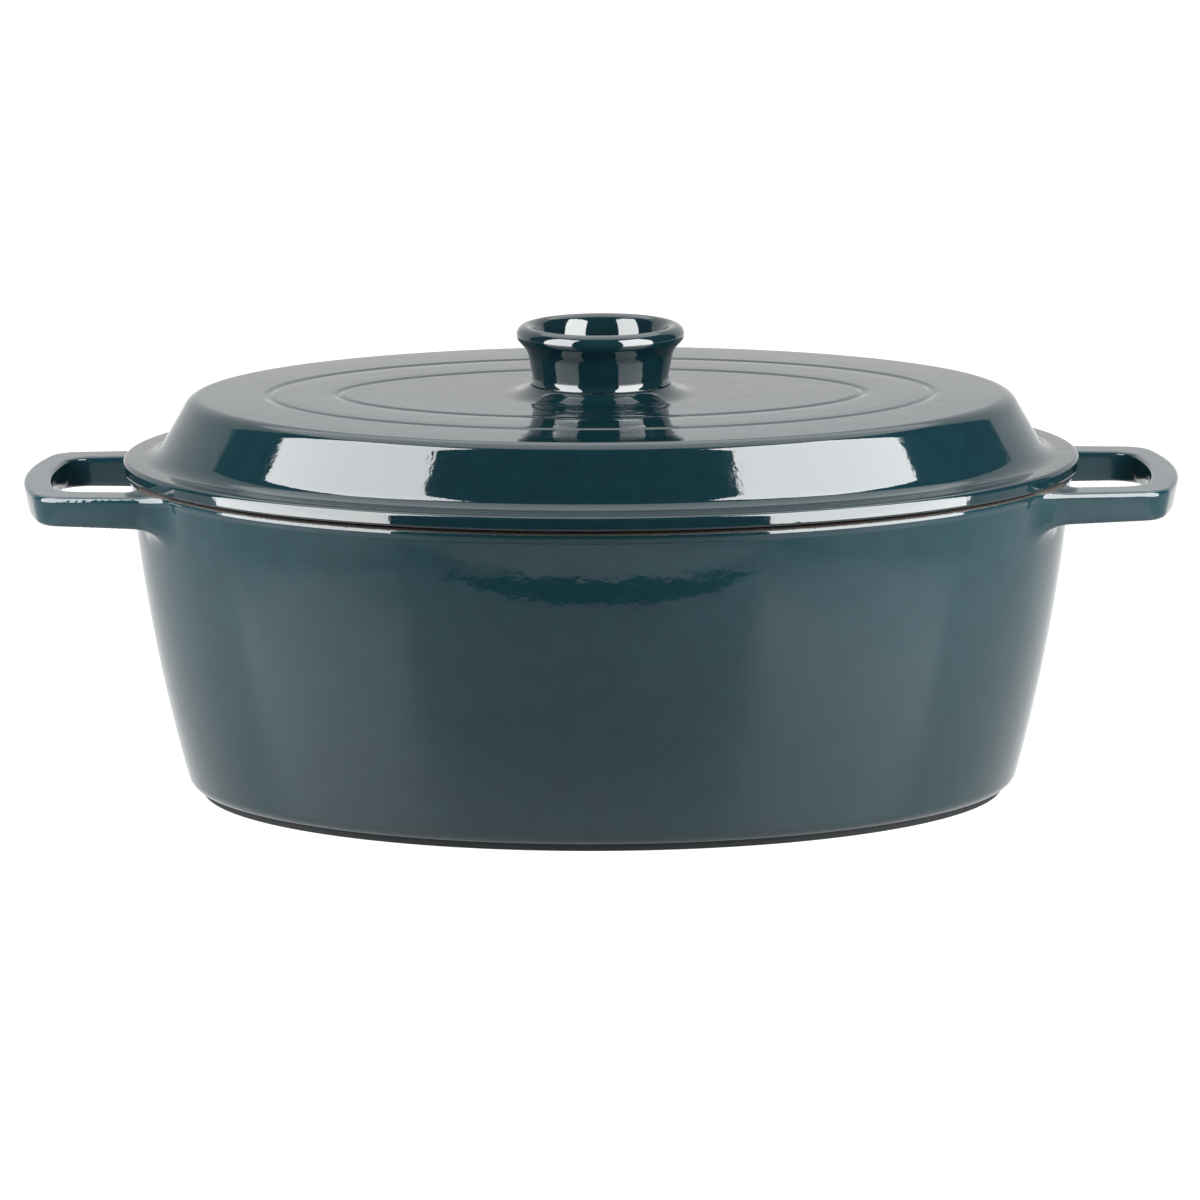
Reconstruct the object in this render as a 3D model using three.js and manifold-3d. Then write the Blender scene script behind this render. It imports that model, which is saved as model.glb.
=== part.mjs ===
// An oval cast iron dutch oven: an enamelled pot with two loop handles, a lid that lifts off,
// and a hollow spool knob held to the lid by a screw and washer from below.
// Millimetres, +Z up. The origin is the middle of the face that the pot stands on,
// +X runs along the handles and -Y faces the front.
import * as THREE from 'three';
import { mergeVertices } from 'three/addons/utils/BufferGeometryUtils.js';
import Module from 'manifold-3d';

const wasm = await Module();
wasm.setup();

// ---------------------------------------------------------------- driving dimensions
// Every oval of the pot and lid runs parallel to the lid's edge, so it is given as an inset from it.
const LID_HALF_LENGTH = 168;
const LID_HALF_WIDTH = 128.6;
const OVAL_STEPS = 72;
const FIT_GAP = 0.3; // clearance between pieces that touch

const FOOT_INSET = 26.4; // outside of the foot ring
const FOOT_HEIGHT = 3;
const FOOT_RING_WIDTH = 10;
const FOOT_RECESS = 1.5; // how far the underside is raised inside the foot ring
const CORNER_HEIGHT = 9; // where the wall starts to turn under
const RIM_HEIGHT = 114.5;
const RIM_INSET = 2.2;
const WALL_THICKNESS = 4.2;
const FLOOR_HEIGHT = 6.4; // top of the pot's floor
const FLOOR_RADIUS = 14; // inside corner between wall and floor
// The wall's inset at a height z is a + b t + c t^2, with t in tenths of a metre below the top of the wall.
const WALL_TOP = 110;
const WALL_CURVE = { a: 2.75, b: 9.18, c: 8.17 };

const HANDLE_TOP = 113.5;
const HANDLE_THICKNESS = 10.2;
const HANDLE_HALF_WIDTH = 48.6; // where the handle leaves the pot
const HANDLE_TAPER = 0.08; // how much the half width shrinks per mm of reach
const HANDLE_TAPER_START = 174;
const HANDLE_REACH = 203; // from the middle of the pot to the handle's tip
const HANDLE_END_RADIUS = 143; // gentle curve of the grip
const HANDLE_CORNER_RADIUS = 7.5;
const HANDLE_SIDE_BAR = 13.5;
const HANDLE_GRIP = 10;
const HANDLE_EDGE = 1.6; // rounding of the handle's edges
const HANDLE_ROOT_X = 132; // inside the pot's wall
const ROOT_FLARE = 8; // how far the handle widens on each side where it meets the pot
const FLARE_START_X = 148;
const FLARE_MIDDLE_X = 154;
const FLARE_END_X = 170;
const HOLE_ROOT_X = 146; // inner end of the finger hole

const FLANGE_TOP = 120.4;
const FLANGE_THICKNESS = 4.8;
const FLANGE_FILLET = 8; // hollow curve from the flange up into the skirt
const SKIRT_LEAN = 29.7; // degrees from upright
const PLATEAU_HEIGHT = 141.6;
const PLATEAU_INSET = 27.6; // where the flat top begins
const PLATEAU_EDGE_RADIUS = 6.5;
const CREST_FULLNESS = 2.4; // how far the crest bulges at the front and back
const GROOVE_INSETS = [51.4, 75.7];
const GROOVE_HALF_WIDTH = 2.2;
const GROOVE_DEPTH = 0.6;
const LID_THICKNESS = 4.4;
const SEAT_INSET = 4.4; // outside of the ring that the lid rests on
const LOCATOR_INSET = 8.2; // outside of the lip that keeps the lid centred
const LOCATOR_WIDTH = 3.2;
const LOCATOR_BOTTOM = 110;

const BOSS_TOP = 145;
const BOSS_TOP_RADIUS = 25;
const BOSS_FOOT_RADIUS = 35;
const KNOB_BASE_RADIUS = 24.2;
const KNOB_WAIST_RADIUS = 24.6;
const KNOB_WAIST_HEIGHT = 151;
const KNOB_RIM_RADIUS = 29.3;
const KNOB_RIM_HEIGHT = 162.7; // middle of the rounded rim
const KNOB_LIP_RADIUS = 3.3;
const KNOB_WELL_RADIUS = 20.4;
const KNOB_WELL_FLOOR = 153.5;
const KNOB_STEPS = 48;

const SCREW_RADIUS = 3;
const SCREW_HEAD_RADIUS = 6;
const SCREW_HEAD_HEIGHT = 3.4;
const SCREW_TIP = 151;
const WASHER_RADIUS = 8.5;
const WASHER_THICKNESS = 1.4;
const HOLE_RADIUS = SCREW_RADIUS + FIT_GAP; // in the knob and washer
const LID_HOLE_RADIUS = HOLE_RADIUS + 0.4;
const LID_CEILING = PLATEAU_HEIGHT - LID_THICKNESS; // underside of the plateau

// ---------------------------------------------------------------- materials
const TEAL_ENAMEL = { color: 0x14424d, roughness: 0.12, metalness: 0.0 };
const STAINLESS = { color: 0xb9bcbe, roughness: 0.3, metalness: 1.0 };

// ---------------------------------------------------------------- shape helpers
// A point of the oval that lies the given inset inside the lid's edge.
function ovalPoint(angle, inset) {
  const x = LID_HALF_LENGTH * Math.cos(angle);
  const y = LID_HALF_WIDTH * Math.sin(angle);
  const normal = new THREE.Vector2(x / LID_HALF_LENGTH ** 2, y / LID_HALF_WIDTH ** 2).normalize();
  return [x - inset * normal.x, y - inset * normal.y];
}

// A closed solid lofted through parallel ovals. The profile is a list of [inset, height] from
// the middle of the underside, round the outside, to the middle of the top. A third number is
// how far the oval bulges beyond its inset at the front and back.
function ovalLoft(profile) {
  const positions = [];
  for (const [inset, height, bulge = 0] of profile) {
    for (let step = 0; step < OVAL_STEPS; step += 1) {
      const angle = (2 * Math.PI * step) / OVAL_STEPS;
      positions.push(...ovalPoint(angle, inset - bulge * Math.sin(angle) ** 2), height);
    }
  }
  const bottomCentre = positions.length / 3;
  positions.push(0, 0, profile[0][1]);
  const topCentre = bottomCentre + 1;
  positions.push(0, 0, profile[profile.length - 1][1]);
  const indices = [];
  const lastRing = (profile.length - 1) * OVAL_STEPS;
  for (let step = 0; step < OVAL_STEPS; step += 1) {
    const next = (step + 1) % OVAL_STEPS;
    indices.push(bottomCentre, next, step);
    indices.push(topCentre, lastRing + step, lastRing + next);
    for (let ring = 0; ring < lastRing; ring += OVAL_STEPS) {
      const above = ring + OVAL_STEPS;
      indices.push(ring + step, ring + next, above + next);
      indices.push(ring + step, above + next, above + step);
    }
  }
  const geometry = new THREE.BufferGeometry();
  geometry.setAttribute('position', new THREE.Float32BufferAttribute(positions, 3));
  geometry.setIndex(indices);
  return geometry;
}

// Points [u, v] of an arc about [cu, cv], from one angle to another, in degrees.
function arc(cu, cv, radius, from, to, steps) {
  const points = [];
  for (let step = 0; step <= steps; step += 1) {
    const angle = THREE.MathUtils.degToRad(from + ((to - from) * step) / steps);
    points.push([cu + radius * Math.cos(angle), cv + radius * Math.sin(angle)]);
  }
  return points;
}

// A solid turned about Z from a profile of [radius, height] that starts and ends on the axis.
function turned(profile, steps) {
  const points = profile.map(([radius, height]) => new THREE.Vector2(radius, height));
  return new THREE.LatheGeometry(points, steps).rotateX(Math.PI / 2);
}

function cylinder(radius, bottom, top, steps) {
  return turned([[0, bottom], [radius, bottom], [radius, top], [0, top]], steps);
}

function toSolid(geometry) {
  const bare = geometry.clone();
  bare.deleteAttribute('normal');
  bare.deleteAttribute('uv');
  const merged = mergeVertices(bare, 1e-4);
  return new wasm.Manifold(new wasm.Mesh({
    numProp: 3,
    vertProperties: new Float32Array(merged.attributes.position.array),
    triVerts: new Uint32Array(merged.index.array),
  }));
}

function toGeometry(solid) {
  const mesh = solid.getMesh();
  const geometry = new THREE.BufferGeometry();
  geometry.setAttribute('position', new THREE.BufferAttribute(new Float32Array(mesh.vertProperties), 3));
  geometry.setIndex(new THREE.BufferAttribute(new Uint32Array(mesh.triVerts), 1));
  return geometry;
}

function part(name, geometry, material) {
  const mesh = new THREE.Mesh(geometry, new THREE.MeshStandardMaterial(material));
  mesh.name = name;
  return mesh;
}

// ---------------------------------------------------------------- pot
function wallInset(height) {
  const t = (WALL_TOP - height) / 100;
  return WALL_CURVE.a + WALL_CURVE.b * t + WALL_CURVE.c * t * t;
}

function potOutside() {
  const wallFoot = wallInset(CORNER_HEIGHT);
  const profile = [
    [FOOT_INSET + FOOT_RING_WIDTH + FOOT_RECESS, FOOT_RECESS],
    [FOOT_INSET + FOOT_RING_WIDTH, 0],
    [FOOT_INSET + 0.8, 0],
    [FOOT_INSET, 0.9],
  ];
  // The corner is a quarter of an ellipse between the foot ring and the wall.
  for (const turn of [60, 40, 20, 0]) {
    const angle = THREE.MathUtils.degToRad(turn);
    profile.push([
      wallFoot + ((FOOT_INSET - 0.4 - wallFoot) * (1 - Math.cos(angle))) / 0.5,
      CORNER_HEIGHT - ((CORNER_HEIGHT - FOOT_HEIGHT) * Math.sin(angle)) / Math.sin(Math.PI / 3),
    ]);
  }
  for (const height of [24, 40, 56, 72, 88, 100, 108]) {
    profile.push([wallInset(height), height]);
  }
  const beadTurn = RIM_HEIGHT - 2;
  profile.push([RIM_INSET + 0.6, beadTurn - 1.4]);
  profile.push([RIM_INSET, beadTurn]);
  profile.push([RIM_INSET + 0.3, RIM_HEIGHT - 0.7]);
  profile.push([RIM_INSET + 1.4, RIM_HEIGHT]);
  return ovalLoft(profile);
}

function potCavity() {
  const floorTurn = FLOOR_HEIGHT + FLOOR_RADIUS;
  const wallAtTurn = wallInset(floorTurn) + WALL_THICKNESS;
  const profile = arc(wallAtTurn + FLOOR_RADIUS, floorTurn, FLOOR_RADIUS, 270, 180, 5);
  for (const height of [40, 60, 80, 100, 110]) {
    profile.push([wallInset(height) + WALL_THICKNESS, height]);
  }
  const aboveRim = RIM_HEIGHT + 5;
  profile.push([wallInset(WALL_TOP) + WALL_THICKNESS, aboveRim]);
  return ovalLoft(profile);
}

// One loop handle on the +X side, seen from above: an outline with a finger hole.
function handleShape() {
  const halfWidth = HANDLE_HALF_WIDTH - HANDLE_EDGE;
  const reach = HANDLE_REACH - HANDLE_EDGE;
  const endRadius = HANDLE_END_RADIUS - HANDLE_EDGE;
  const cornerRadius = HANDLE_CORNER_RADIUS - HANDLE_EDGE;
  const shape = new THREE.Shape();
  shape.moveTo(HANDLE_ROOT_X, -halfWidth - ROOT_FLARE);
  shape.lineTo(FLARE_START_X, -halfWidth - ROOT_FLARE);
  shape.quadraticCurveTo(FLARE_MIDDLE_X, -halfWidth, FLARE_END_X, -halfWidth);
  for (const [x, y] of gripCurve(halfWidth, reach, endRadius, cornerRadius)) {
    shape.lineTo(x, y);
  }
  shape.lineTo(FLARE_END_X, halfWidth);
  shape.quadraticCurveTo(FLARE_MIDDLE_X, halfWidth, FLARE_START_X, halfWidth + ROOT_FLARE);
  shape.lineTo(HANDLE_ROOT_X, halfWidth + ROOT_FLARE);
  shape.closePath();

  const hole = new THREE.Path();
  const holeHalfWidth = HANDLE_HALF_WIDTH - HANDLE_SIDE_BAR + HANDLE_EDGE;
  const holeReach = HANDLE_REACH - HANDLE_GRIP + HANDLE_EDGE;
  const inner = gripCurve(holeHalfWidth, holeReach, HANDLE_END_RADIUS - HANDLE_GRIP, HANDLE_CORNER_RADIUS);
  hole.moveTo(HOLE_ROOT_X, -holeHalfWidth);
  for (const [x, y] of inner) {
    hole.lineTo(x, y);
  }
  hole.lineTo(HOLE_ROOT_X, holeHalfWidth);
  hole.closePath();
  shape.holes.push(hole);
  return shape;
}

// The outer end of a handle outline: a corner arc, a gentle bow and the other corner arc,
// narrowed by the handle's taper.
function gripCurve(halfWidth, reach, endRadius, cornerRadius) {
  const bowCentre = reach - endRadius;
  const cornerY = halfWidth - cornerRadius;
  const cornerX = bowCentre + Math.sqrt((endRadius - cornerRadius) ** 2 - cornerY ** 2);
  const meet = THREE.MathUtils.radToDeg(Math.atan2(cornerY, cornerX - bowCentre));
  const outline = [
    ...arc(cornerX, -cornerY, cornerRadius, -90, -meet, 4),
    ...arc(bowCentre, 0, endRadius, -meet, meet, 6).slice(1, -1),
    ...arc(cornerX, cornerY, cornerRadius, meet, 90, 4),
  ];
  return outline.map(([x, y]) => {
    const narrowing = (HANDLE_TAPER * (x - HANDLE_TAPER_START)) / HANDLE_HALF_WIDTH;
    return [x, y * (1 - narrowing)];
  });
}

function handle(turn) {
  const depth = HANDLE_THICKNESS - 2 * HANDLE_EDGE;
  const geometry = new THREE.ExtrudeGeometry(handleShape(), {
    depth,
    curveSegments: 4,
    bevelEnabled: true,
    bevelThickness: HANDLE_EDGE,
    bevelSize: HANDLE_EDGE,
    bevelSegments: 2,
  });
  return geometry.translate(0, 0, HANDLE_TOP - HANDLE_EDGE - depth).rotateZ(turn);
}

function potBody() {
  return toSolid(potOutside())
    .add(toSolid(handle(0)))
    .add(toSolid(handle(Math.PI)))
    .subtract(toSolid(potCavity()));
}

// ---------------------------------------------------------------- lid
function grooveRings(inset) {
  const edge = GROOVE_HALF_WIDTH;
  return [
    [inset - edge, PLATEAU_HEIGHT],
    [inset - edge / 2, PLATEAU_HEIGHT - GROOVE_DEPTH * 0.8],
    [inset + edge / 2, PLATEAU_HEIGHT - GROOVE_DEPTH * 0.8],
    [inset + edge, PLATEAU_HEIGHT],
  ];
}

// The lid's upper surface from the flange's edge to the middle of the plateau.
function lidTop() {
  const steepness = 90 - SKIRT_LEAN;
  const crest = arc(PLATEAU_INSET, PLATEAU_HEIGHT - PLATEAU_EDGE_RADIUS, PLATEAU_EDGE_RADIUS,
    90 + steepness, 90, 4);
  const [crestInset, crestHeight] = crest[0];
  const rise = FLANGE_FILLET * (1 - Math.cos(THREE.MathUtils.degToRad(steepness)));
  const run = FLANGE_FILLET * Math.sin(THREE.MathUtils.degToRad(steepness));
  const skirtFoot = crestInset
    - (crestHeight - FLANGE_TOP - rise) * Math.tan(THREE.MathUtils.degToRad(SKIRT_LEAN));
  const fillet = arc(skirtFoot - run, FLANGE_TOP + FLANGE_FILLET, FLANGE_FILLET, 270, 270 + steepness, 5);
  return [
    [0.6, FLANGE_TOP - FLANGE_THICKNESS],
    [0, FLANGE_TOP - FLANGE_THICKNESS + 0.8],
    [0, FLANGE_TOP - 1.3],
    [0.4, FLANGE_TOP - 0.4],
    [1.3, FLANGE_TOP],
    ...fillet,
    ...crest,
    ...GROOVE_INSETS.flatMap(grooveRings),
  ];
}

// The underside from the middle outwards: ceiling, hollow skirt, locating lip and seat.
function lidUnderside() {
  const seatHeight = RIM_HEIGHT + FIT_GAP;
  const lipInner = LOCATOR_INSET + LOCATOR_WIDTH;
  const ceilingInset = PLATEAU_INSET + 4;
  return [
    [ceilingInset, LID_CEILING],
    [ceilingInset - 3, LID_CEILING - 1],
    [ceilingInset - 5, LID_CEILING - 4],
    [lipInner + 4.5, FLANGE_TOP + 1],
    [lipInner + 1, FLANGE_TOP - 4],
    [lipInner, LOCATOR_BOTTOM + 1],
    [lipInner - 0.8, LOCATOR_BOTTOM],
    [LOCATOR_INSET + 0.8, LOCATOR_BOTTOM],
    [LOCATOR_INSET, LOCATOR_BOTTOM + 1],
    [LOCATOR_INSET - 0.2, seatHeight],
    [SEAT_INSET, seatHeight],
    [SEAT_INSET - 1, FLANGE_TOP - FLANGE_THICKNESS],
  ];
}

// The share of the crest's bulge that a point of the lid's profile takes: all of it at the crest,
// none at the flange and none inside the outer groove.
function crestShare(inset, height) {
  const climb = (height - FLANGE_TOP) / (PLATEAU_HEIGHT - FLANGE_TOP);
  const flatEnd = GROOVE_INSETS[0] - 4;
  const level = (flatEnd - inset) / (flatEnd - PLATEAU_INSET);
  return THREE.MathUtils.clamp(climb, 0, 1) * THREE.MathUtils.clamp(level, 0, 1);
}

// A raised round boss that flows out of the plateau and carries the knob.
function boss() {
  const rise = BOSS_TOP - PLATEAU_HEIGHT;
  const reach = BOSS_FOOT_RADIUS - BOSS_TOP_RADIUS;
  const profile = [[0, LID_CEILING + 1], [BOSS_FOOT_RADIUS, LID_CEILING + 1]];
  for (const share of [0, 0.33, 0.66, 1]) {
    profile.push([BOSS_FOOT_RADIUS - reach * share, PLATEAU_HEIGHT + rise * share * share]);
  }
  profile.push([0, BOSS_TOP]);
  return turned(profile, KNOB_STEPS);
}

function lid() {
  const profile = [...lidUnderside(), ...lidTop()];
  const shell = ovalLoft(profile.map(([inset, height]) => [
    inset, height, CREST_FULLNESS * crestShare(inset, height),
  ]));
  return toSolid(shell)
    .add(toSolid(boss()))
    .subtract(toSolid(cylinder(LID_HOLE_RADIUS, LID_CEILING - 5, BOSS_TOP + 5, 24)));
}

// ---------------------------------------------------------------- knob and its fastening
// A hollow spool: a cup with a rounded, flared rim, a waist and a solid base with a blind hole.
function knob() {
  const base = BOSS_TOP + FIT_GAP;
  const lipCentre = KNOB_RIM_RADIUS - KNOB_LIP_RADIUS;
  const flareTop = arc(lipCentre, KNOB_RIM_HEIGHT, KNOB_LIP_RADIUS, -55, 180, 9);
  const [flareRadius, flareHeight] = flareTop[0];
  const flare = [0.25, 0.5, 0.75].map((share) => [
    KNOB_WAIST_RADIUS + (flareRadius - KNOB_WAIST_RADIUS) * share * share,
    KNOB_WAIST_HEIGHT + (flareHeight - KNOB_WAIST_HEIGHT) * share,
  ]);
  const profile = [
    [0, SCREW_TIP + 1],
    [HOLE_RADIUS, SCREW_TIP + 1],
    [HOLE_RADIUS, base],
    [KNOB_BASE_RADIUS - 0.4, base],
    [KNOB_BASE_RADIUS, base + 0.4],
    [KNOB_WAIST_RADIUS, KNOB_WAIST_HEIGHT],
    ...flare,
    ...flareTop,
    [KNOB_WELL_RADIUS, KNOB_RIM_HEIGHT - 4],
    [KNOB_WELL_RADIUS, KNOB_WELL_FLOOR + 3],
    [KNOB_WELL_RADIUS - 3, KNOB_WELL_FLOOR],
    [0, KNOB_WELL_FLOOR],
  ];
  return turned(profile, KNOB_STEPS);
}

function washer() {
  const top = LID_CEILING - FIT_GAP;
  const profile = [
    [HOLE_RADIUS, top - WASHER_THICKNESS],
    [WASHER_RADIUS, top - WASHER_THICKNESS],
    [WASHER_RADIUS, top],
    [HOLE_RADIUS, top],
    [HOLE_RADIUS, top - WASHER_THICKNESS],
  ];
  return turned(profile, 32);
}

function screw() {
  const headTop = LID_CEILING - WASHER_THICKNESS - 2 * FIT_GAP;
  const headBottom = headTop - SCREW_HEAD_HEIGHT;
  const profile = [
    [0, headBottom],
    [SCREW_HEAD_RADIUS - 1.6, headBottom],
    [SCREW_HEAD_RADIUS, headBottom + 1.6],
    [SCREW_HEAD_RADIUS, headTop],
    [SCREW_RADIUS, headTop],
    [SCREW_RADIUS, SCREW_TIP - 0.8],
    [SCREW_RADIUS - 0.8, SCREW_TIP],
    [0, SCREW_TIP],
  ];
  const slot = new THREE.BoxGeometry(2 * SCREW_HEAD_RADIUS + 2, 1.6, 2 * 1.4).translate(0, 0, headBottom);
  return toSolid(turned(profile, 32)).subtract(toSolid(slot));
}

// ---------------------------------------------------------------- assembly
const dutchOven = new THREE.Group();
dutchOven.add(
  part('pot_body', toGeometry(potBody()), TEAL_ENAMEL),
  part('lid', toGeometry(lid()), TEAL_ENAMEL),
  part('knob', toGeometry(toSolid(knob())), TEAL_ENAMEL),
  part('knob_screw', toGeometry(screw()), STAINLESS),
  part('knob_washer', toGeometry(toSolid(washer())), STAINLESS),
);

export default dutchOven;
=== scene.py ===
import math

import bmesh
import bpy
import numpy as np
from mathutils import Matrix, Vector

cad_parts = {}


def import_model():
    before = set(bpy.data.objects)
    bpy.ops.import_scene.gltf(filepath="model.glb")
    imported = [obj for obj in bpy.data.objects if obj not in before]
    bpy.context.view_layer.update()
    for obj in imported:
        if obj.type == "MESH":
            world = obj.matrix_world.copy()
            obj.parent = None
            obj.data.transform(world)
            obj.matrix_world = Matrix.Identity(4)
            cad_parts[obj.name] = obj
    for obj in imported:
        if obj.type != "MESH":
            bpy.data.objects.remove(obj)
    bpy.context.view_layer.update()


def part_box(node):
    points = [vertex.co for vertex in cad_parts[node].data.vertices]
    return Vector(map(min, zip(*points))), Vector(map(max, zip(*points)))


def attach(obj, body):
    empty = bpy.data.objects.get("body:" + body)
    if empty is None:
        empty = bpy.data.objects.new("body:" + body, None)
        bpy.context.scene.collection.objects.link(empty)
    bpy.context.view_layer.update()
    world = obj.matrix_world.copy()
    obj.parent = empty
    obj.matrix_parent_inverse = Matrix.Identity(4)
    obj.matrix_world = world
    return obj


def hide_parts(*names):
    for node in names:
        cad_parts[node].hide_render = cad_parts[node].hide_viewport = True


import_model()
MM = 0.001

# ---------------------------------------------------------------- sizes, in mm
# Every oval runs parallel to the lid's edge, so it is given as an inset from it.
HALF_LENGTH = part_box("lid")[1].x / MM
HALF_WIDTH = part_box("lid")[1].y / MM
RIM_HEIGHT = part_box("pot_body")[1].z / MM
HANDLE_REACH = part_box("pot_body")[1].x / MM
KNOB_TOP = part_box("knob")[1].z / MM

FOOT_INSET = 26.0
FOOT_HEIGHT = 2.3
FOOT_WIDTH = 10
FOOT_RECESS = 1.5
CORNER_HEIGHT = 9
CORNER_RADIUS = 6
WALL_TOP = 110
WALL_A, WALL_B, WALL_C = 2.75, 9.18, 8.17
WALL_THICKNESS = 4.2
RIM_INSET = 2.2
FLOOR_TOP = 6.4
FLOOR_RADIUS = 14

HANDLE_TOP = 113.5
HANDLE_THICKNESS = 10.2
HANDLE_SWELL = 0.03
HANDLE_HALF_WIDTH = 48.6
HANDLE_TAPER = 0.08
HANDLE_TAPER_START = 174
HANDLE_END_RADIUS = 143
HANDLE_CORNER_RADIUS = 7
HANDLE_SIDE_BAR = 13.5
HANDLE_GRIP = 10
HANDLE_EDGE = 1.4
HANDLE_DRAFT = 1.7
HANDLE_ROOT = 132
ROOT_BLEND = 6.5
ROOT_BLEND_BELOW = 2

FLANGE_TOP = 120.4
FLANGE_THICKNESS = 4.8
FLANGE_FILLET = 8
SKIRT_LEAN = math.radians(29.7)
PLATEAU = 141.6
PLATEAU_INSET = 27.4
PLATEAU_EDGE = 6.5
CREST_FULLNESS = 2.4
GROOVE_INSETS = (51.4, 75.7)
GROOVE_HALF_WIDTH = 2.5
GROOVE_DEPTH = 0.42
LID_CEILING = PLATEAU - 4.4
SEAT_HEIGHT = RIM_HEIGHT + 0.3
LOCATOR_BOTTOM = 110

BOSS_TOP = 145
BOSS_TOP_RADIUS = 25.0
BOSS_FOOT_RADIUS = 36
KNOB_BASE = BOSS_TOP + 0.3
LIP_RADIUS = 3.3
LIP_CENTRE = (26.2, KNOB_TOP - LIP_RADIUS - 0.1)
LIP_UNDERCUT = 42
KNOB_FLARE = 4.45
KNOB_WAIST = (23.8, 1.8)
WELL_FLOOR = 153.5
SCREW_RADIUS = 3
SCREW_TIP = 151
HOLE_RADIUS = SCREW_RADIUS + 0.3
WASHER_RADIUS = 8.5
WASHER_THICKNESS = 1.4
HEAD_RADIUS = 6
HEAD_HEIGHT = 3.4


# ---------------------------------------------------------------- shape helpers
def oval(angle, inset):
    """x and y of the oval that lies the inset inside the lid's edge."""
    x, y = HALF_LENGTH * np.cos(angle), HALF_WIDTH * np.sin(angle)
    nx, ny = x / HALF_LENGTH**2, y / HALF_WIDTH**2
    size = np.hypot(nx, ny)
    return x - inset * nx / size, y - inset * ny / size


def rounded(corners, step=0.5):
    """A path through corners (u, v, radius), each corner rounded to its radius."""
    points = [corners[0][:2]]
    for before, corner, after in zip(corners, corners[1:], corners[2:]):
        at = Vector(corner[:2])
        back, ahead = Vector(before[:2]) - at, Vector(after[:2]) - at
        turn = math.pi - back.angle(ahead)
        radius = corner[2] if len(corner) > 2 else 0
        if radius == 0 or turn < 1e-4:
            points.append(tuple(at))
            continue
        back.normalize(), ahead.normalize()
        reach = radius * math.tan(turn / 2)
        centre = at + (back + ahead).normalized() * radius / math.cos(turn / 2)
        start, end = at + back * reach - centre, at + ahead * reach - centre
        count = max(3, int(radius * turn / step) + 1, int(math.degrees(turn) / 7))
        for share in np.linspace(0, 1, count + 1):
            spoke = start * math.sin((1 - share) * turn) + end * math.sin(share * turn)
            points.append(tuple(centre + spoke / math.sin(turn)))
    points.append(corners[-1][:2])
    return points


def arc(centre, radius, start, end, count):
    """Points of an arc, with its angles in degrees."""
    turn = np.radians(np.linspace(start, end, count))
    return list(zip(centre[0] + radius * np.cos(turn), centre[1] + radius * np.sin(turn)))


def new_piece(name, points, faces, material, body, marks=None):
    """A smooth mesh object from points in mm, which stands for the CAD node of the same name.
    marks are values at each point that the material reads."""
    mesh = bpy.data.meshes.new(name)
    mesh.from_pydata((np.asarray(points) * MM).tolist(), [], faces)
    for mark, values in (marks or {}).items():
        mesh.attributes.new(mark, "FLOAT", "POINT").data.foreach_set("value", values.astype(np.float32))
    bm = bmesh.new()
    bm.from_mesh(mesh)
    bmesh.ops.remove_doubles(bm, verts=bm.verts, dist=1e-6)
    bmesh.ops.recalc_face_normals(bm, faces=bm.faces)
    bm.to_mesh(mesh)
    bm.free()
    mesh.shade_smooth()
    mesh.materials.append(material)
    piece = bpy.data.objects.new(name + "_look", mesh)
    bpy.context.scene.collection.objects.link(piece)
    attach(piece, body)
    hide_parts(name)
    return piece


def ring_faces(rings, count, closed):
    """Quads between neighbouring rings of count points each."""
    ring = np.arange(rings if closed else rings - 1)[:, None] * count
    above = (ring + count) % (rings * count)
    step = np.arange(count)[None, :]
    ahead = (step + 1) % count
    return np.stack([ring + step, ring + ahead, above + ahead, above + step], -1).reshape(-1, 4).tolist()


def turned(profile, count=96):
    """Points and faces of a profile of (radius, height) turned about Z."""
    angle = np.linspace(0, 2 * np.pi, count, endpoint=False)
    points = [np.stack([r * np.cos(angle), r * np.sin(angle), np.full(count, z)], -1) for r, z in profile]
    return np.concatenate(points), ring_faces(len(profile), count, False)


# ---------------------------------------------------------------- material helpers
def add(tree, kind, inputs=None, **settings):
    """A new node. Its inputs are values or other nodes' sockets."""
    node = tree.nodes.new(kind)
    for name, value in settings.items():
        setattr(node, name, value)
    for key, value in (inputs or {}).items():
        if isinstance(value, bpy.types.NodeSocket):
            tree.links.new(value, node.inputs[key])
        else:
            node.inputs[key].default_value = value
    return node


def new_material(name):
    material = bpy.data.materials.new(name)
    material.use_nodes = True
    tree = material.node_tree
    place = add(tree, "ShaderNodeTexCoord").outputs["Object"]
    return material, tree, tree.nodes["Principled BSDF"], place


def noise(tree, place, size, detail=2.0, roughness=0.5):
    """Noise from 0 to 1 whose lumps are about size mm across."""
    inputs = {"Vector": place, "Scale": 1 / (size * MM), "Detail": detail, "Roughness": roughness}
    return add(tree, "ShaderNodeTexNoise", inputs).outputs["Fac"]


def ramp(tree, value, low, high, start=0.0, end=1.0):
    inputs = {0: value, 1: low, 2: high, 3: start, 4: end}
    return add(tree, "ShaderNodeMapRange", inputs, interpolation_type="SMOOTHSTEP").outputs[0]


def maths(tree, operation, first, second=0.0, third=0.0):
    return add(tree, "ShaderNodeMath", {0: first, 1: second, 2: third}, operation=operation).outputs[0]


def mix_colour(tree, share, first, second):
    return add(tree, "ShaderNodeMix", {0: share, 6: first, 7: second}, data_type="RGBA").outputs[2]


def mix_value(tree, share, first, second):
    return add(tree, "ShaderNodeMix", {0: share, 2: first, 3: second}).outputs[0]


def ragged(tree, distance, place, size, reach):
    """A 0 to 1 mask that is 1 where distance (mm) is positive, with an edge ragged by reach mm."""
    wobble = maths(tree, "MULTIPLY_ADD", noise(tree, place, size, 3.0, 0.6), 2 * reach, -reach)
    return ramp(tree, maths(tree, "ADD", distance, wobble), -0.12, 0.12)


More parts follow.
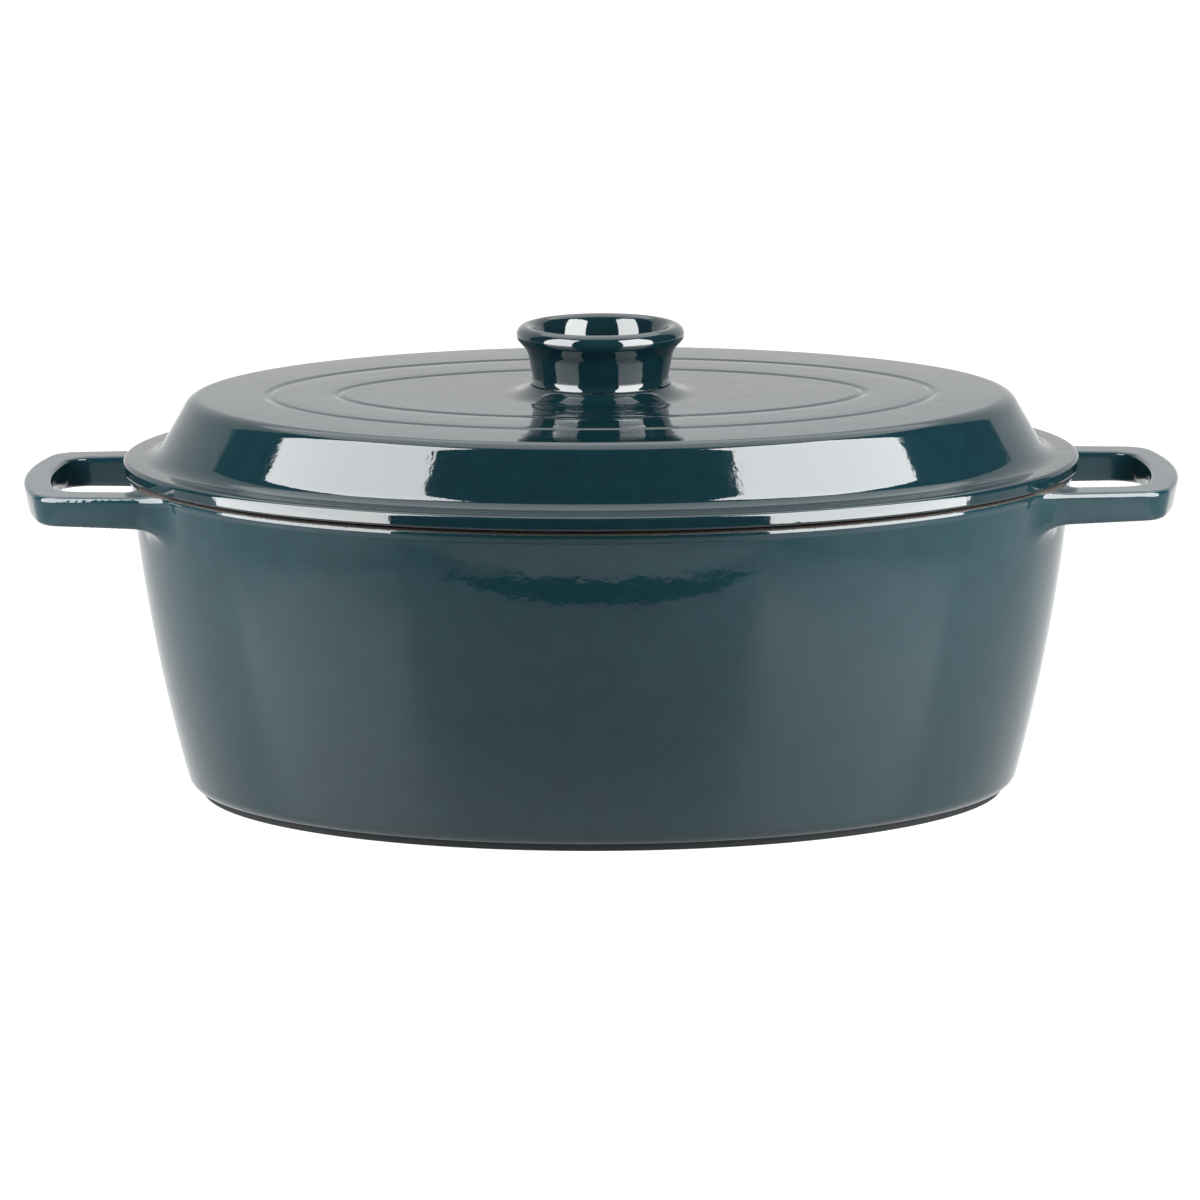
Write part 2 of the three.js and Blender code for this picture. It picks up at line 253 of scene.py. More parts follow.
# ---------------------------------------------------------------- materials
# Painted light and shade: the pot's teal and the lid's teal are lit and shaded copies of one enamel. The
# pot's copy is lighter, as painted light on its wall; the lid's copy, which the knob shares, is darker, as
# painted shade.
POT_TEAL_LIT = (0.0030, 0.0150, 0.0195, 1)
POT_TEAL_LIT_DEEP = (0.0025, 0.0125, 0.0165, 1)
LID_TEAL_SHADED = (0.0019, 0.0090, 0.0118, 1)
LID_TEAL_SHADED_DEEP = (0.0015, 0.0075, 0.0100, 1)
# Bare cast iron of the rim's top and the lid's seat, with rust; both colours are made near-black so that
# they also carry painted shade of the gap between lid and pot.
IRON_SHADED = (0.010, 0.008, 0.006, 1)
IRON_SHADED_RUST = (0.030, 0.019, 0.012, 1)
BLACK_ENAMEL = (0.012, 0.012, 0.012, 1)
FOOT_GREY = (0.006, 0.010, 0.011, 1)
GLOSS = 0.5
KNOB_GLOSS = 0.62


def enamel_height(tree, place):
    """Orange peel and the slow waves of enamel over a sand casting, in mm."""
    peel = maths(tree, "MULTIPLY", noise(tree, place, 3.2, 2.0), 0.030)
    waves = maths(tree, "MULTIPLY", noise(tree, place, 12, 1.0), 0.075)
    slow = maths(tree, "MULTIPLY", noise(tree, place, 60, 0.0), 0.12)
    return maths(tree, "ADD", maths(tree, "ADD", peel, waves), slow)


def enamel(name, deep, light, zones, gloss=GLOSS):
    """Glossy teal enamel. zones are (attribute, kind): the attribute is mm into that zone."""
    material, tree, shader, place = new_material(name)
    cloud = noise(tree, place, 9, 4.0, 0.6)
    shader.inputs["Specular IOR Level"].default_value = gloss
    colour = mix_colour(tree, ramp(tree, cloud, 0.3, 0.7), deep, light)
    roughness = ramp(tree, noise(tree, place, 1.5, 3.0), 0.3, 0.75, 0.035, 0.075)
    height = enamel_height(tree, place)
    for attribute, kind in zones:
        distance = add(tree, "ShaderNodeAttribute", attribute_name=attribute).outputs["Fac"]
        # bare iron with rust, darkened as painted shade of the gap between lid and pot
        if kind == "iron":
            mask = ragged(tree, distance, place, 1.1, 0.35)
            grain = noise(tree, place, 0.9, 5.0, 0.7)
            look = mix_colour(tree, ramp(tree, grain, 0.5, 0.75), IRON_SHADED, IRON_SHADED_RUST)
            rough, relief = 0.75, maths(tree, "MULTIPLY", grain, 0.30)
        elif kind == "inside":
            mask = ragged(tree, distance, place, 2.5, 0.25)
            grain = noise(tree, place, 1.0, 4.0, 0.65)
            look = mix_colour(tree, ramp(tree, grain, 0.35, 0.7), BLACK_ENAMEL, (0.022, 0.022, 0.022, 1))
            rough, relief = 0.42, maths(tree, "MULTIPLY", grain, 0.05)
        else:
            mask = ragged(tree, distance, place, 6, 0.3)
            grain = noise(tree, place, 1.4, 4.0, 0.6)
            look = mix_colour(tree, ramp(tree, grain, 0.3, 0.7), FOOT_GREY, (0.003, 0.004, 0.004, 1))
            rough, relief = 0.9, maths(tree, "MULTIPLY", grain, 0.10)
        colour = mix_colour(tree, mask, colour, look)
        roughness = mix_value(tree, mask, roughness, rough)
        height = mix_value(tree, mask, height, relief)
    bump = add(tree, "ShaderNodeBump", {"Height": height, "Distance": MM, "Strength": 1.0})
    for socket, value in (("Base Color", colour), ("Roughness", roughness), ("Normal", bump.outputs[0])):
        tree.links.new(value, shader.inputs[socket])
    return material


def steel(name):
    """Stainless steel with fine turned rings."""
    material, tree, shader, place = new_material(name)
    radius = add(tree, "ShaderNodeVectorMath", {0: place}, operation="LENGTH").outputs["Value"]
    inputs = {"W": radius, "Scale": 9000.0, "Detail": 3.0}
    rings = add(tree, "ShaderNodeTexNoise", inputs, noise_dimensions="1D")
    smudge = noise(tree, place, 3, 3.0)
    rough = ramp(tree, smudge, 0.3, 0.7, 0.2, 0.34)
    height = maths(tree, "MULTIPLY", rings.outputs["Fac"], 0.004)
    bump = add(tree, "ShaderNodeBump", {"Height": height, "Distance": MM})
    colour = mix_colour(tree, smudge, (0.46, 0.46, 0.45, 1), (0.60, 0.60, 0.59, 1))
    shader.inputs["Metallic"].default_value = 1.0
    for socket, value in (("Base Color", colour), ("Roughness", rough), ("Normal", bump.outputs[0])):
        tree.links.new(value, shader.inputs[socket])
    return material


# ---------------------------------------------------------------- pot
def wall_inset(height):
    t = (WALL_TOP - np.asarray(height, float)) / 100
    return WALL_A + WALL_B * t + WALL_C * t * t


def pot_outside():
    """The outline of the filled pot in (inset, height), closed far inside it."""
    deep = 60
    foot = rounded([
        (deep, FOOT_RECESS),
        (FOOT_INSET + FOOT_WIDTH + FOOT_RECESS, FOOT_RECESS, 0.6),
        (FOOT_INSET + FOOT_WIDTH, 0, 0.5),
        (FOOT_INSET, 0, 0.9),
        (FOOT_INSET - 0.3, FOOT_HEIGHT, 0.6),
        (float(wall_inset(FOOT_HEIGHT)), FOOT_HEIGHT + 0.3, CORNER_RADIUS),
        (float(wall_inset(CORNER_HEIGHT + 4)), CORNER_HEIGHT + 4),
    ])
    wall = [(float(wall_inset(z)), z) for z in np.linspace(CORNER_HEIGHT + 5, 106, 62)]
    rim = rounded([
        (float(wall_inset(109)), 109),
        (float(wall_inset(111)), 111.2, 1),
        (RIM_INSET, 112.3, 0.9),
        (RIM_INSET, RIM_HEIGHT, 1.3),
        (deep, RIM_HEIGHT),
    ], 0.3)
    return np.array(foot + wall + rim)


def pot_cavity():
    """The outline of the room inside the pot, closed far above it."""
    side = [(float(wall_inset(z)) + WALL_THICKNESS, z) for z in np.linspace(FLOOR_TOP + 18, 112, 40)]
    floor = rounded([
        (60, FLOOR_TOP),
        (float(wall_inset(FLOOR_TOP)) + WALL_THICKNESS, FLOOR_TOP, FLOOR_RADIUS),
        side[0],
    ])
    return np.array(floor + side + [(side[-1][0], RIM_HEIGHT + 9), (60, RIM_HEIGHT + 9)])


def outline_distance(outline, u, v):
    """Signed distance of points from a closed outline, negative inside it."""
    (u, v), back = np.unique(np.round([u.ravel(), v.ravel()], 6), axis=1, return_inverse=True)
    ends = np.roll(outline, -1, 0)
    best = np.full(u.shape, 1e9)
    inside = np.zeros(u.shape, bool)
    for (u0, v0), (u1, v1) in zip(outline, ends):
        du, dv = u1 - u0, v1 - v0
        share = np.clip(((u - u0) * du + (v - v0) * dv) / max(du * du + dv * dv, 1e-12), 0, 1)
        best = np.minimum(best, (u - u0 - share * du) ** 2 + (v - v0 - share * dv) ** 2)
        if dv != 0:
            crosses = ((v0 > v) != (v1 > v)) & (u < u0 + (v - v0) * du / dv)
            inside ^= crosses
    return (np.where(inside, -1, 1) * np.sqrt(best))[back.ravel()]


def smooth_max(a, b, size):
    blend = np.clip(0.5 + 0.5 * (a - b) / size, 0, 1)
    return b * (1 - blend) + a * blend + size * blend * (1 - blend)


def corner_distance(a, b):
    """Distance from the meet of two half-planes, from the distance to each."""
    return np.hypot(np.maximum(a, 0), np.maximum(b, 0)) + np.minimum(np.maximum(a, b), 0)


def bow_distance(x, y, half_width, reach, end_radius, corner_radius):
    """Distance from a loop outline seen from above: straight sides, a bowed end, round corners."""
    side = np.abs(y) - (half_width - corner_radius)
    end = np.hypot(x - (reach - end_radius), y) - (end_radius - corner_radius)
    end = np.where(x > reach - end_radius, end, -1e3)
    return corner_distance(side, end) - corner_radius


def handle_distance(x, y, z):
    """Distance from the loop handles, which are mirror images across x = 0."""
    x = np.abs(x)
    depth = np.clip((HANDLE_TOP - z) / HANDLE_THICKNESS, 0, 1)
    draft = HANDLE_DRAFT * depth**1.2
    side = HANDLE_HALF_WIDTH - HANDLE_TAPER * (x - HANDLE_TAPER_START)
    outside = bow_distance(x, y, side, HANDLE_REACH, HANDLE_END_RADIUS, HANDLE_CORNER_RADIUS)
    hole = bow_distance(x, y, side - HANDLE_SIDE_BAR, HANDLE_REACH - HANDLE_GRIP,
                        HANDLE_END_RADIUS - HANDLE_GRIP, HANDLE_CORNER_RADIUS)
    hole = smooth_max(hole, HALF_LENGTH - 22 - x, 3)
    plan = np.maximum(np.maximum(outside + draft, -hole + 0.5 * draft), HANDLE_ROOT - x)
    thickness = HANDLE_THICKNESS + HANDLE_SWELL * (HANDLE_REACH - x)
    level = np.abs(z - HANDLE_TOP + thickness / 2) - thickness / 2
    return corner_distance(plan + HANDLE_EDGE, level + HANDLE_EDGE) - HANDLE_EDGE


def pot_distance(angle, inset, height, shell=None, room=None):
    """Distance from the whole casting. The handles flow into the wall, more below than above."""
    x, y = oval(angle, inset)
    if shell is None:
        shell = outline_distance(OUTSIDE, inset, height)
        room = outline_distance(CAVITY, inset, height)
    near = (np.abs(x) > HANDLE_ROOT - 12) & (height > 80)
    handle = handle_distance(x[near], y[near], height[near])
    below = np.clip((HANDLE_TOP - height[near]) / HANDLE_THICKNESS, 0, 1)
    size = ROOT_BLEND + ROOT_BLEND_BELOW * below
    whole = shell.copy()
    whole[near] = -smooth_max(-shell[near], -handle, size)
    return smooth_max(whole, -room, 1.0)


def graded(stops):
    """Grid values between stops (value, step), with the step changing evenly."""
    values = [stops[0][0]]
    for (low, first), (high, last) in zip(stops, stops[1:]):
        start = values[-1]
        while values[-1] < high - 1e-6:
            share = np.clip((values[-1] - low) / (high - low), 0, 1)
            values.append(values[-1] + first + (last - first) * share)
        span = values[-1] - start
        values = [v if v <= start else start + (v - start) * (high - start) / span for v in values]
    return np.array(values)


def quarter_angles():
    """Angles round the oval, close together at the handles and wider at the front and back."""
    steps = graded([(0, 0.42), (29, 0.42), (45, 1.4), (90, 1.5)])
    quarter = np.radians(steps)[:-1]
    half = np.concatenate([quarter, np.pi - np.radians(steps)[:0:-1]])
    return np.concatenate([half, half + np.pi])


def surface_net(field):
    """Cells that the zero level of a grid crosses and the quads that join them. Axis 0 is round."""
    sides, rows, levels = field.shape[0], field.shape[1] - 1, field.shape[2] - 1
    wrapped = np.concatenate([field, field[:1]])
    inside = wrapped < 0
    corners = [(i, j, k) for i in (0, 1) for j in (0, 1) for k in (0, 1)]
    total = sum(inside[i:i + sides, j:j + rows, k:k + levels].astype(int) for i, j, k in corners)
    cells = np.argwhere((total > 0) & (total < 8))
    number = np.full((sides, rows, levels), -1)
    number[tuple(cells.T)] = np.arange(len(cells))
    place, hits = np.zeros((len(cells), 3)), np.zeros(len(cells))
    for axis in range(3):
        for corner in (c for c in corners if c[axis] == 0):
            start = cells + corner
            end = start + np.eye(3, dtype=int)[axis]
            a, b = wrapped[tuple(start.T)], wrapped[tuple(end.T)]
            cut = (a < 0) != (b < 0)
            share = np.where(cut, a / np.where(cut, a - b, 1), 0)
            place += cut[:, None] * (start + share[:, None] * (end - start))
            hits += cut
    place /= hits[:, None]
    quads = []
    for axis in range(3):
        ahead = np.eye(3, dtype=int)[axis]
        first, second = np.eye(3, dtype=int)[(axis + 1) % 3], np.eye(3, dtype=int)[(axis + 2) % 3]
        size = np.array(field.shape) - (0 if axis == 0 else ahead)
        grid = wrapped[tuple(slice(0, n) for n in size)]
        moved = wrapped[tuple(slice(a, a + n) for a, n in zip(ahead, size))]
        edges = np.argwhere((grid < 0) != (moved < 0))
        around = [edges - first - second, edges - second, edges, edges - first]
        for cell in around:
            cell[:, 0] %= sides
        good = np.all([(c[:, 1:] >= 0).all(1) & (c[:, 1:] < (rows, levels)).all(1) for c in around], 0)
        quad = np.stack([number[tuple(c[good].T)] for c in around], -1)
        flip = grid[tuple(edges[good].T)] > 0
        quad[flip] = quad[flip][:, ::-1]
        quads.append(quad)
    return cells, place, np.concatenate(quads)


def settle(angle, inset, height):
    """Moves points onto the casting's surface along its slope."""
    step = 0.02
    for _ in range(3):
        x0, y0 = oval(angle - 0.001, inset)
        x1, y1 = oval(angle + 0.001, inset)
        pace = np.hypot(x1 - x0, y1 - y0) / 0.002
        shell = outline_distance(OUTSIDE, inset, height)
        room = outline_distance(CAVITY, inset, height)
        value = pot_distance(angle, inset, height, shell, room)
        slopes = [
            (pot_distance(angle + step / pace, inset, height, shell, room) - value) / step,
            (pot_distance(angle, inset + step, height) - value) / step,
            (pot_distance(angle, inset, height + step) - value) / step,
        ]
        size = np.maximum(sum(s * s for s in slopes), 0.2)
        angle = angle - value * slopes[0] / size / pace
        inset = inset - value * slopes[1] / size
        height = height - value * slopes[2] / size
    return angle, inset, height


def floor_faces(points, cells, rows, count):
    """Rings that close the underside and the floor inside the net's last row."""
    extra, faces = [], []
    last = cells[:, 1] == rows - 1
    for low in (True, False):
        ring = np.flatnonzero(last & ((points[:, 2] < (FOOT_RECESS + FLOOR_TOP) / 2) == low))
        ring = ring[np.argsort(cells[ring, 0])]
        before = ring
        for share in (0.8, 0.55, 0.3, 0.12):
            start = len(points) + sum(len(e) for e in extra)
            extra.append(points[ring] * (share, share, 1))
            inner = np.arange(start, start + len(ring))
            faces += np.stack([before, np.roll(before, -1), np.roll(inner, -1), inner], -1).tolist()
            before = inner
        faces.append(before.tolist())
    return np.concatenate([points, *extra]), faces


def pot(material):
    angles = quarter_angles()
    insets = graded([(-37, 1.15), (-3, 1.15), (-1, 0.6), (9, 0.6), (13, 1.2), (41, 1.6)])
    heights = graded([(-1, 0.7), (11, 0.9), (24, 3.5), (80, 3.5), (92, 1.1), (103, 0.95),
                      (RIM_HEIGHT + 2, 0.6)])
    across, up = np.meshgrid(insets, heights, indexing="ij")
    shell = outline_distance(OUTSIDE, across, up).reshape(across.shape)
    room = outline_distance(CAVITY, across, up).reshape(across.shape)
    around = np.broadcast_to(angles[:, None, None], (len(angles), *across.shape))
    across, up, shell, room = (np.broadcast_to(a, around.shape) for a in (across, up, shell, room))
    field = pot_distance(around, across, up, shell, room)
    cells, place, quads = surface_net(field)
    index = np.arange(len(angles) + 1)
    angle = np.interp(place[:, 0], index, np.append(angles, 2 * np.pi))
    inset = np.interp(place[:, 1], np.arange(len(insets)), insets)
    height = np.interp(place[:, 2], np.arange(len(heights)), heights)
    angle, inset, height = settle(angle, inset, height)
    x, y = oval(angle, inset)
    points, caps = floor_faces(np.stack([x, y, height], -1), cells, len(insets) - 1, len(angles))
    faces = quads.tolist() + caps
    return new_piece("pot_body", points, faces, material, "pot", pot_marks(points))


def inset_of(x, y):
    """How far points lie inside the lid's edge, by stepping towards it."""
    angle = np.arctan2(y * HALF_LENGTH, x * HALF_WIDTH)
    for _ in range(4):
        ex, ey = oval(angle, 0)
        inset = np.hypot(x - ex, y - ey)
        tx, ty = -HALF_LENGTH * np.sin(angle), HALF_WIDTH * np.cos(angle)
        angle += ((x - ex) * tx + (y - ey) * ty) / (tx * tx + ty * ty)
    outside = (x / HALF_LENGTH) ** 2 + (y / HALF_WIDTH) ** 2 > 1
    return np.where(outside, -inset, inset)


def pot_marks(points):
    """How many mm each point lies inside the bare rim, the black inside and the foot ring."""
    x, y, z = points.T
    inset = inset_of(x, y)
    wall = wall_inset(np.clip(z, CORNER_HEIGHT, WALL_TOP)) + 0.5 * WALL_THICKNESS
    return {
        "rim": np.where(inset > -1, z - RIM_HEIGHT + 0.75, -5),
        "inside": np.where(z > 4, np.minimum(inset - wall, z - 4), -5),
        "foot": np.where(inset > 10, FOOT_HEIGHT + 0.2 - z, -5),
    }


OUTSIDE = pot_outside()
CAVITY = pot_cavity()


# ---------------------------------------------------------------- lid
def groove(inset):
    """A soft round-bottomed groove in the plateau."""
    spots = np.linspace(-1, 1, 13)
    dips = PLATEAU - GROOVE_DEPTH * (0.5 + 0.5 * np.cos(np.pi * spots))
    return [(inset + GROOVE_HALF_WIDTH * s, z) for s, z in zip(spots, dips)]


def lid_outside():
    """From the middle of the flange's underside up to the plateau, in (inset, height)."""
    turn = math.pi / 2 - SKIRT_LEAN
    crest = PLATEAU_INSET - PLATEAU_EDGE * math.tan(turn / 2)
    skirt_foot = crest - (PLATEAU - FLANGE_TOP) * math.tan(SKIRT_LEAN)
    flange_bottom = FLANGE_TOP - FLANGE_THICKNESS
    return rounded([
        (3.8, flange_bottom),
        (0, flange_bottom, 0.8),
        (0, FLANGE_TOP, 1.5),
        (skirt_foot, FLANGE_TOP, FLANGE_FILLET),
        (crest, PLATEAU, PLATEAU_EDGE),
        (GROOVE_INSETS[0] - 3, PLATEAU),
    ], 0.45)


def lid_underside():
    """From the hollow's ceiling outwards: skirt, locating lip and seat, in (inset, height)."""
    return rounded([
        (40, LID_CEILING),
        (28.5, LID_CEILING, 7),
        (16, 121.6, 9),
        (11.4, 114, 3),
        (11.4, LOCATOR_BOTTOM, 1.2),
        (8.1, LOCATOR_BOTTOM, 1.2),
        (8.0, SEAT_HEIGHT, 0.5),
        (4.4, SEAT_HEIGHT, 0.5),
        (4.0, FLANGE_TOP - FLANGE_THICKNESS, 0.4),
        (3.8, FLANGE_TOP - FLANGE_THICKNESS),
    ], 0.6)


def boss():
    """From the plateau up to the boss's flat top and in to the screw hole, in (radius, height)."""
    share = np.linspace(0, 1, 16)
    radius = BOSS_FOOT_RADIUS + (BOSS_TOP_RADIUS - BOSS_FOOT_RADIUS) * share
    flare = list(zip(radius, PLATEAU + (BOSS_TOP - 0.25 - PLATEAU) * share**3))
    edge = rounded([flare[-1], (BOSS_TOP_RADIUS - 0.2, BOSS_TOP, 0.2), (24, BOSS_TOP)], 0.1)
    return flare + edge[1:] + [(HOLE_RADIUS + 0.4, BOSS_TOP)]


def crest_share(inset, z):
    """How much of the crest's extra fullness at the front and back a point of the profile takes."""
    climb = np.clip((z - FLANGE_TOP) / (PLATEAU - FLANGE_TOP), 0, 1)
    level = np.clip((GROOVE_INSETS[0] - 4 - inset) / (GROOVE_INSETS[0] - 4 - PLATEAU_INSET), 0, 1)
    return climb * level


def lid(material):
    count = 320
    angle = np.linspace(0, 2 * np.pi, count, endpoint=False)

    def flat(x, y, z):
        return np.stack([x, y, np.full(count, float(z))], -1)

    def bulged(inset, z):
        return flat(*oval(angle, inset - CREST_FULLNESS * crest_share(inset, z) * np.sin(angle) ** 2), z)

    def circle(radius, z):
        return flat(radius * np.cos(angle), radius * np.sin(angle), z)

    outside = lid_outside() + groove(GROOVE_INSETS[0])
    outside += [(60, PLATEAU), (68, PLATEAU)] + groove(GROOVE_INSETS[1])
    rings = [bulged(inset, z) for inset, z in outside]
    last = flat(*oval(angle, GROOVE_INSETS[1] + GROOVE_HALF_WIDTH + 1), PLATEAU)
    foot = circle(BOSS_FOOT_RADIUS + 1, PLATEAU)
    rings += [last * (1 - share) + foot * share for share in (0, 0.35, 0.7, 1)]
    rings += [circle(r, z) for r, z in boss()]
    rings += [circle(r, LID_CEILING) for r in (HOLE_RADIUS + 0.4, 12, 30)]
    rings += [flat(*oval(angle, inset), LID_CEILING) for inset in (80, 60)]
    rings += [bulged(inset, z) for inset, z in lid_underside()[:-1]]
    faces = ring_faces(len(rings), count, True)
    rims = lid_marks(outside, len(rings))
    marks = {name: np.repeat(values, count) for name, values in rims.items()}
    return new_piece("lid", np.concatenate(rings), faces, material, "lid", marks)


def lid_marks(outside, rings):
    """How many mm each ring lies inside the bare seat and the black underside."""
    bottom = FLANGE_TOP - FLANGE_THICKNESS
    underside = np.array(lid_underside()[:-1])
    seat, under = np.full(rings, -5.0), np.full(rings, -5.0)
    for index, (inset, z) in enumerate(outside):
        seat[index] = bottom + 0.3 - z if inset < 4.2 else -5
    under[rings - len(underside) - 5:] = 5
    under[rings - len(underside):] = underside[:, 0] - 7.6
    seat[rings - len(underside):] = 7.8 - underside[:, 0]
    return {"seat": seat, "under": under}


# ---------------------------------------------------------------- knob and its fastening
def knob_profile():
    """Base, concave foot, waist, flared rounded lip and tapering well, in (radius, height)."""
    slope = math.radians(LIP_UNDERCUT)
    lip = arc(LIP_CENTRE, LIP_RADIUS, -LIP_UNDERCUT, 145, 34)
    under_lip = (lip[0][0] - KNOB_FLARE * math.sin(slope), lip[0][1] - KNOB_FLARE * math.cos(slope), 7)
    outer = rounded([
        (0, SCREW_TIP + 1),
        (HOLE_RADIUS, SCREW_TIP + 1),
        (HOLE_RADIUS, KNOB_BASE),
        (BOSS_TOP_RADIUS - 0.1, KNOB_BASE, 0.2),
        (KNOB_WAIST[0], KNOB_BASE + KNOB_WAIST[1], 3.0),
        under_lip,
        lip[0],
    ], 0.3)
    inner = rounded([
        lip[-1],
        (lip[-1][0] - 1.75, lip[-1][1] - 3.03, 15),
        (20.0, WELL_FLOOR, 3.5),
        (0, WELL_FLOOR),
    ], 0.4)
    return outer[:-1] + lip + inner[1:]


def knob(material):
    points, faces = turned(knob_profile())
    return new_piece("knob", points, faces, material, "lid")


def washer(material):
    top = LID_CEILING - 0.3
    bottom = top - WASHER_THICKNESS
    profile = rounded([
        (HOLE_RADIUS, top),
        (HOLE_RADIUS, bottom, 0.2),
        (WASHER_RADIUS, bottom, 0.35),
        (WASHER_RADIUS, top, 0.2),
        (HOLE_RADIUS, top),
    ], 0.1)
    points, faces = turned(profile)
    return new_piece("knob_washer", points, faces, material, "lid")


def screw(material):
    """A pan head screw with a straight slot."""
    head_top = LID_CEILING - WASHER_THICKNESS - 0.6
    bottom = head_top - HEAD_HEIGHT
    profile = rounded([
        (0, bottom),
        (HEAD_RADIUS - 1.4, bottom + 0.12, 3),
        (HEAD_RADIUS, bottom + 1.5, 1.2),
        (HEAD_RADIUS, head_top, 0.25),
        (SCREW_RADIUS, head_top, 0.2),
        (SCREW_RADIUS, SCREW_TIP, 0.6),
        (0, SCREW_TIP),
    ], 0.2)
    points, faces = turned(profile)
    piece = new_piece("knob_screw", points, faces, material, "lid")
    bpy.ops.mesh.primitive_cube_add(size=1, location=(0, 0, bottom * MM))
    slot = bpy.context.object
    slot.scale = Vector((2 * HEAD_RADIUS + 2, 1.5, 2.6)) * MM
    cut = piece.modifiers.new("slot", "BOOLEAN")
    cut.object, cut.operation, cut.solver = slot, "DIFFERENCE", "EXACT"
    bpy.context.view_layer.update()
    done = bpy.data.meshes.new_from_object(piece.evaluated_get(bpy.context.evaluated_depsgraph_get()))
    piece.modifiers.clear()
    piece.data = done
    bpy.data.objects.remove(slot)
    done.set_sharp_from_angle(angle=math.radians(40))
    return piece


# ---------------------------------------------------------------- studio
CAMERA_PLACE = Vector((-3.4, -2362.9, 528.4)) * MM
CAMERA_PITCH = math.radians(11.042)
CAMERA_YAW = math.radians(-0.068)
CAMERA_ROLL = math.radians(-0.288)
CAMERA_LENS = 204.27
TABLE_HALF_LENGTH = 1800
TABLE_FRONT = -460
TABLE_GREY = (0.19, 0.195, 0.20, 1)
TABLE_BACK_GREY = (0.1, 0.1, 0.1, 1)
GLOW_BEHIND, GLOW_ASIDE, GLOW_IN_FRONT = 0.8, 0.7, 0.4
SHEET_HALF_LENGTH = 185
SHEET_END = -320
SHEET_FAR_BOW, SHEET_NEAR_BOW = 7, -34
BOX_BOTTOM, BOX_TOP = 45, 720
BOX_LEFT, BOX_RIGHT = 13.5, 15.5
BACKDROP = 0.9
BACKDROP_RIGHT = (-0.588, 0.809, 0)
BACKDROP_LEFT = (0.39, 0.921, 0)
OVERHEAD = 2.4
OVERHEAD_MIDDLE = (0, 0.342, 0.94)
DARK_STUDIO = 0.06


def plane(name, x0, x1, y0, y1, height, material):
    mesh = bpy.data.meshes.new(name)
    corners = [(x0, y0, height), (x1, y0, height), (x1, y1, height), (x0, y1, height)]
    mesh.from_pydata([[c * MM for c in p] for p in corners], [], [(0, 1, 2, 3)])
    mesh.materials.append(material)
    card = bpy.data.objects.new(name, mesh)
    bpy.context.scene.collection.objects.link(card)
    return card


def matt(name, colour, glow=0.0):
    material, _, shader, _ = new_material(name)
    shader.inputs["Base Color"].default_value = (*colour, 1)
    shader.inputs["Roughness"].default_value = 0.9
    shader.inputs["Specular IOR Level"].default_value = 0.0
    shader.inputs["Emission Color"].default_value = (1, 1, 1, 1)
    shader.inputs["Emission Strength"].default_value = glow
    return material


def glossy_table():
    """A grey glossy table top that turns into a glowing pale one behind the pot."""
    material, tree, shader, place = new_material("table_grey")
    parts = add(tree, "ShaderNodeSeparateXYZ", {0: place}).outputs
    back = ramp(tree, parts["Y"], -200 * MM, -60 * MM)
    front = ramp(tree, parts["Y"], -360 * MM, -345 * MM, 1.0, 0.0)
    aside = ramp(tree, maths(tree, "ABSOLUTE", parts["X"]), 190 * MM, 330 * MM)
    tree.links.new(mix_colour(tree, back, TABLE_GREY, TABLE_BACK_GREY), shader.inputs["Base Color"])
    shares = ((back, GLOW_BEHIND), (aside, GLOW_ASIDE), (front, GLOW_IN_FRONT))
    glows = [maths(tree, "MULTIPLY", share, strength) for share, strength in shares]
    glow = maths(tree, "MAXIMUM", maths(tree, "MAXIMUM", glows[0], glows[1]), glows[2])
    tree.links.new(glow, shader.inputs["Emission Strength"])
    shader.inputs["Emission Color"].default_value = (1, 1, 1, 1)
    shader.inputs["Specular IOR Level"].default_value = 0.24
    shader.inputs["Roughness"].default_value = 0.36
    return material


def painted_shade_lens():
    """Painted shade: a thin black sheet on the table in front of the pot, kept out of the camera's view and
    casting no shadow, so that it shows as a shaded patch of floor in the pot's reflections. It is pointed at
    its ends and bowed most towards the front.
    """
    x = np.linspace(-SHEET_HALF_LENGTH, SHEET_HALF_LENGTH, 41)
    bow = 1 - (x / SHEET_HALF_LENGTH) ** 2
    far, near = SHEET_END + SHEET_FAR_BOW * bow, SHEET_END + SHEET_NEAR_BOW * bow
    points = [(a * MM, b * MM, 0.1 * MM) for a, b in zip([*x, *x[-2:0:-1]], [*far, *near[-2:0:-1]])]
    mesh = bpy.data.meshes.new("painted_shade_sheet")
    mesh.from_pydata(points, [], [tuple(range(len(points)))])
    mesh.materials.append(matt("painted_shade_card", (0.01, 0.01, 0.01)))
    card = bpy.data.objects.new("painted_shade_sheet", mesh)
    bpy.context.scene.collection.objects.link(card)
    return card


def softbox(name, inner, outer, bottom, top, radiance):
    """A tall light that stands over the line from inner to outer and faces the pot."""
    inner, outer = Vector(inner), Vector(outer)
    width, height = (outer - inner).length * MM, (top - bottom) * MM
    middle = (inner + outer) / 2
    data = bpy.data.lights.new(name, "AREA")
    data.shape, data.size, data.size_y = "RECTANGLE", width, height
    data.energy = radiance * math.pi * width * height
    box = bpy.data.objects.new(name, data)
    across = (outer - inner).normalized()
    facing = Vector((across.y, -across.x, 0))
    if facing.dot(Vector((*middle, 0))) > 0:
        facing = -facing
    box.matrix_world = Matrix.Translation(Vector((*middle, (bottom + top) / 2)) * MM) @ facing.to_track_quat(
        "-Z", "Y").to_matrix().to_4x4()
    box.visible_camera = False
    bpy.context.scene.collection.objects.link(box)
    return box


def toward(tree, direction, middle):
    """Cosine between a direction and the middle of a light."""
    inputs = {0: direction, 1: middle}
    return add(tree, "ShaderNodeVectorMath", inputs, operation="DOT_PRODUCT").outputs["Value"]


